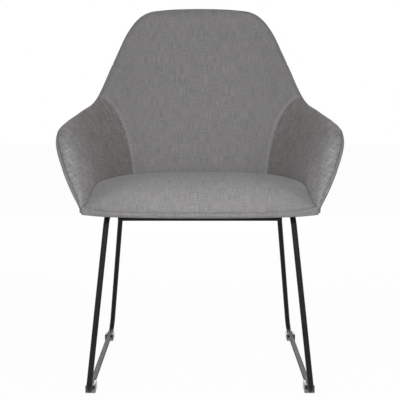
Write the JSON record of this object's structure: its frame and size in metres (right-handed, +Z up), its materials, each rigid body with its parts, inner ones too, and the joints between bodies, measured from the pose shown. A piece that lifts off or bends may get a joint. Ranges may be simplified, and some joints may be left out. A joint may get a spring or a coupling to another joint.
{
  "type": "dining armchair",
  "caption": "Upholstered tub dining armchair with a padded seat, wraparound back and arms, on a sled base of bent black steel rod.",
  "frame": {"origin": "on the floor under the middle of the chair", "axes": "+Z up, +Y to the back of the chair, -Y the way the sitter faces, +X to the sitter's left"},
  "size_m": [0.6182, 0.5812, 0.8379],
  "materials": {
    "woven_fabric": "mid grey plain weave upholstery with fine slubs",
    "moulded_core": "black moulded shell",
    "plywood": "bare birch plywood",
    "dust_cover_cloth": "thin black non-woven cloth",
    "black_powder_coat": "semi-gloss black powder coat",
    "zinc_plate": "bright zinc plate",
    "clear_plastic": "clear moulded plastic"
  },
  "bodies": {
    "root": {"inner_back_pad": "woven_fabric", "left_arm_pad": "woven_fabric", "right_arm_pad": "woven_fabric", "outer_back_cover": "woven_fabric", "left_outer_cover": "woven_fabric", "right_outer_cover": "woven_fabric", "front_border": "woven_fabric", "seat_cushion": "woven_fabric", "tub_core": "moulded_core", "seat_board": "plywood", "dust_cover": "dust_cover_cloth", "left_side_loop": "black_powder_coat", "right_side_loop": "black_powder_coat", "front_crossbar": "black_powder_coat", "rear_crossbar": "black_powder_coat", "front_left_plate": "black_powder_coat", "front_right_plate": "black_powder_coat", "rear_left_plate": "black_powder_coat", "rear_right_plate": "black_powder_coat", "front_left_bolt": "zinc_plate", "front_right_bolt": "zinc_plate", "rear_left_bolt": "zinc_plate", "rear_right_bolt": "zinc_plate", "front_left_washer": "zinc_plate", "front_right_washer": "zinc_plate", "rear_left_washer": "zinc_plate", "rear_right_washer": "zinc_plate", "front_left_insert": "zinc_plate", "front_right_insert": "zinc_plate", "rear_left_insert": "zinc_plate", "rear_right_insert": "zinc_plate", "left_core_screw_1": "zinc_plate", "left_core_screw_2": "zinc_plate", "left_core_screw_3": "zinc_plate", "right_core_screw_1": "zinc_plate", "right_core_screw_2": "zinc_plate", "right_core_screw_3": "zinc_plate", "front_left_glide": "clear_plastic", "front_right_glide": "clear_plastic", "rear_left_glide": "clear_plastic", "rear_right_glide": "clear_plastic"}
  },
  "joints": []
}
